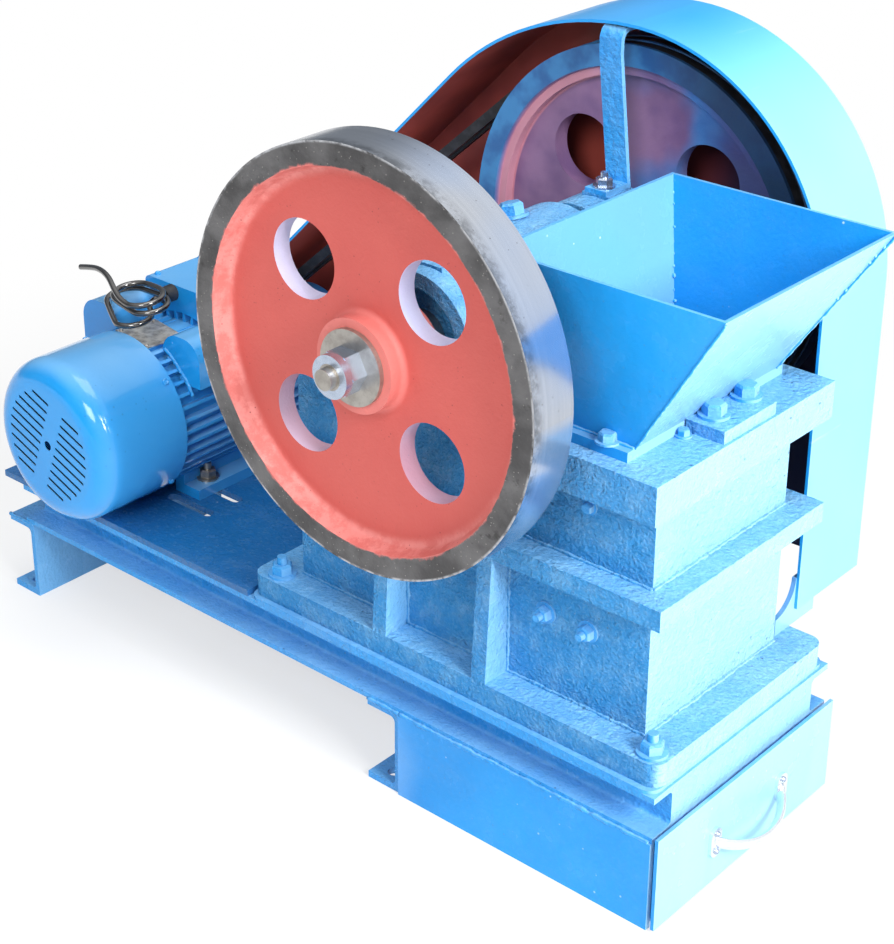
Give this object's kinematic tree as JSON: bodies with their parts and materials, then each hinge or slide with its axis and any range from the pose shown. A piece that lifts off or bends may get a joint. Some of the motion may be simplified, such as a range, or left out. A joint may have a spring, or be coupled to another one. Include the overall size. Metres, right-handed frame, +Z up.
{
  "type": "stone crusher",
  "caption": "Small jaw stone crusher with feed hopper, flywheel, guarded belt drive, electric motor and sliding catch drawer on a channel-steel base.",
  "frame": {"origin": "on the floor, at the middle of the four anchor holes in the legs", "axes": "+X along the machine towards the catch drawer, +Y across it towards the belt guard, +Z up"},
  "size_m": [0.7858, 0.4346, 0.603],
  "materials": {
    "blue_paint": "glossy brushed-on paint over castings and plate",
    "pulley_paint": "primer with blue overspray",
    "wheel_iron": "red primer on the web, turned rim",
    "guard_sheet": "blue outside, red primer inside",
    "steel": "turned steel",
    "chrome": "polished",
    "jaw_steel": "rough cast manganese steel",
    "belt_rubber": "matt",
    "cord_rubber": "satin",
    "gland_plastic": "moulded"
  },
  "bodies": {
    "frame": {"base_flange": "blue_paint", "capacitor_cover": "blue_paint", "cord_gland": "gland_plastic", "cord_hank": "cord_rubber", "drive_end_shield": "blue_paint", "fan_cowl": "blue_paint", "far_beam": "blue_paint", "far_bearing_housing": "blue_paint", "far_belt": "belt_rubber", "far_cheek_plate": "jaw_steel", "far_drawer_runner": "blue_paint", "far_side_plate": "blue_paint", "far_wall": "blue_paint", "fixed_jaw_plate": "jaw_steel", "front_cross_plate": "blue_paint", "front_leg_channel": "blue_paint", "front_wall": "blue_paint", "guard_bracket": "blue_paint", "guard_foot": "blue_paint", "guard_plate": "guard_sheet", "guard_rim": "guard_sheet", "hopper_far_wall": "blue_paint", "hopper_flange": "blue_paint", "hopper_front_wall": "blue_paint", "hopper_near_wall": "blue_paint", "hopper_rear_wall": "blue_paint", "jaw_clamp_bar": "blue_paint", "mid_flange": "blue_paint", "motor_bed_plate": "blue_paint", "motor_frame": "blue_paint", "motor_pulley": "pulley_paint", "near_beam": "blue_paint", "near_bearing_housing": "blue_paint", "near_belt": "belt_rubber", "near_cheek_plate": "jaw_steel", "near_drawer_runner": "blue_paint", "near_side_plate": "blue_paint", "near_wall": "blue_paint", "packing_plate": "blue_paint", "rear_leg_channel": "blue_paint", "rear_wall": "blue_paint", "swing_jaw": "blue_paint", "swing_jaw_plate": "jaw_steel", "switch_cover": "blue_paint", "terminal_box": "blue_paint", "toggle_plate": "jaw_steel", "top_plate": "blue_paint"},
    "rotor": {"eccentric_shaft": "steel", "flywheel": "wheel_iron", "drive_pulley": "pulley_paint", "flywheel_washer": "steel", "flywheel_nut": "steel", "pulley_nut": "steel"},
    "drawer": {"drawer_tray": "blue_paint", "drawer_handle": "chrome"}
  },
  "joints": [
    {"name": "rotor_spin", "type": "hinge", "parent": "frame", "child": "rotor", "pos_m": [0.276, 0, 0.418], "axis": [0, 1, 0], "continuous": true},
    {"name": "drawer_slide", "type": "slide", "parent": "frame", "child": "drawer", "axis": [1, 0, 0], "range_m": [0, 0.2]}
  ]
}
